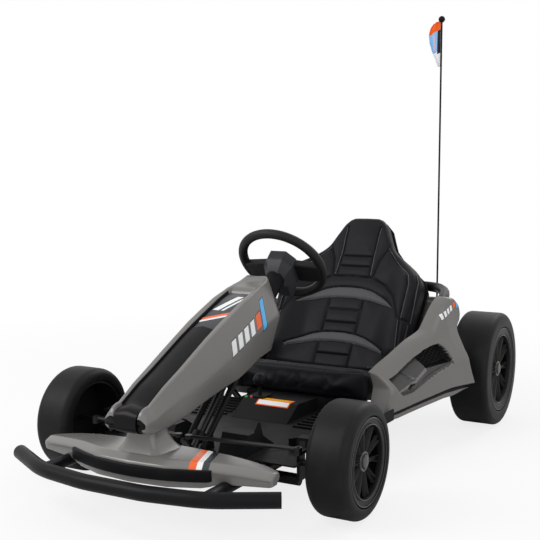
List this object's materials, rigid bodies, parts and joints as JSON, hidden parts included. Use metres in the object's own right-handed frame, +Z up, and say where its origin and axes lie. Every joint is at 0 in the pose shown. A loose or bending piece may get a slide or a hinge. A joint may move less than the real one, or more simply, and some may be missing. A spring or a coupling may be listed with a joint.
{
  "type": "children's electric drift kart",
  "caption": "Ride-on drift kart for a child: bucket seat between side pods, channelled nose over a front wing and tube bumper, flat-bottomed steering wheel, rear hoop and whip flag.",
  "frame": {"origin": "on the ground in the middle of the kart's length and width", "axes": "+X to the kart's left, +Y to its rear, +Z up; the nose points along -Y"},
  "size_m": [0.81, 1.324, 1.098],
  "materials": {
    "body_grey": "gloss",
    "gloss_black": "gloss",
    "black_plastic": "matte",
    "plate": "gloss",
    "tyre": "matte",
    "rim": "satin",
    "frame_paint": "satin",
    "steel": "satin",
    "seat_leather": "satin",
    "grip": "matte",
    "flag": "matte"
  },
  "bodies": {
    "chassis": {"accelerator_pedal": "black_plastic", "antenna": "black_plastic", "battery_block": "black_plastic", "bumper_bar": "frame_paint", "console": "black_plastic", "floor_pan": "black_plastic", "foot_rest_left": "black_plastic", "foot_rest_right": "black_plastic", "frame_rails": "frame_paint", "front_axle": "frame_paint", "front_wing": "body_grey", "gearboxes": "black_plastic", "hoop_bar": "frame_paint", "nose_panel": "gloss_black", "nose_shell": "body_grey", "number_plate": "plate", "pennant": "flag", "pod_grille_left": "black_plastic", "pod_grille_right": "black_plastic", "rear_axle_beam": "frame_paint", "rear_cover": "body_grey", "seat_back": "seat_leather", "seat_cushion": "seat_leather", "seat_shell": "black_plastic", "shift_lever": "black_plastic", "side_pod_left": "body_grey", "side_pod_right": "body_grey", "sill_left": "body_grey", "sill_right": "body_grey", "wing_blade": "body_grey"},
    "steering": {"steering_shaft": "steel", "steering_wheel": "grip", "steering_hub": "gloss_black"},
    "left_knuckle": {"knuckle_left": "steel"},
    "left_tie_rod": {"tie_rod_left": "steel"},
    "front_wheel_left": {"front_tyre_left": "tyre", "front_rim_left": "rim"},
    "rear_wheel_left": {"rear_tyre_left": "tyre", "rear_rim_left": "rim"},
    "right_knuckle": {"knuckle_right": "steel"},
    "right_tie_rod": {"tie_rod_right": "steel"},
    "front_wheel_right": {"front_tyre_right": "tyre", "front_rim_right": "rim"},
    "rear_wheel_right": {"rear_tyre_right": "tyre", "rear_rim_right": "rim"}
  },
  "joints": [
    {"name": "steering_turn", "type": "hinge", "parent": "chassis", "child": "steering", "pos_m": [0, -0.38425, 0.09648], "axis": [0, 0.7455, 0.6665], "range_deg": [-42, 42]},
    {"name": "left_kingpin", "type": "hinge", "parent": "chassis", "child": "left_knuckle", "pos_m": [0.25, -0.326, 0.12], "axis": [0, 0, 1], "range_deg": [-28, 28]},
    {"name": "left_tie_rod_end", "type": "hinge", "parent": "left_knuckle", "child": "left_tie_rod", "pos_m": [0.25, -0.383, 0.1393], "axis": [0, 0, 1], "range_deg": [-28, 28]},
    {"name": "front_wheel_left_spin", "type": "hinge", "parent": "left_knuckle", "child": "front_wheel_left", "pos_m": [0.3325, -0.326, 0.1165], "axis": [1, 0, 0], "continuous": true},
    {"name": "right_kingpin", "type": "hinge", "parent": "chassis", "child": "right_knuckle", "pos_m": [-0.25, -0.326, 0.12], "axis": [0, 0, 1], "range_deg": [-28, 28]},
    {"name": "right_tie_rod_end", "type": "hinge", "parent": "right_knuckle", "child": "right_tie_rod", "pos_m": [-0.25, -0.383, 0.1393], "axis": [0, 0, 1], "range_deg": [-28, 28]},
    {"name": "front_wheel_right_spin", "type": "hinge", "parent": "right_knuckle", "child": "front_wheel_right", "pos_m": [-0.3325, -0.326, 0.1165], "axis": [1, 0, 0], "continuous": true},
    {"name": "rear_wheel_left_spin", "type": "hinge", "parent": "chassis", "child": "rear_wheel_left", "pos_m": [0.353, 0.512, 0.15], "axis": [1, 0, 0], "continuous": true},
    {"name": "rear_wheel_right_spin", "type": "hinge", "parent": "chassis", "child": "rear_wheel_right", "pos_m": [-0.353, 0.512, 0.15], "axis": [1, 0, 0], "continuous": true}
  ],
  "couplings": [
    {"joint": "left_kingpin", "follows": "steering_turn", "ratio": 0.6666},
    {"joint": "left_tie_rod_end", "follows": "steering_turn", "ratio": -0.6666},
    {"joint": "right_kingpin", "follows": "steering_turn", "ratio": 0.6666},
    {"joint": "right_tie_rod_end", "follows": "steering_turn", "ratio": -0.6666}
  ]
}
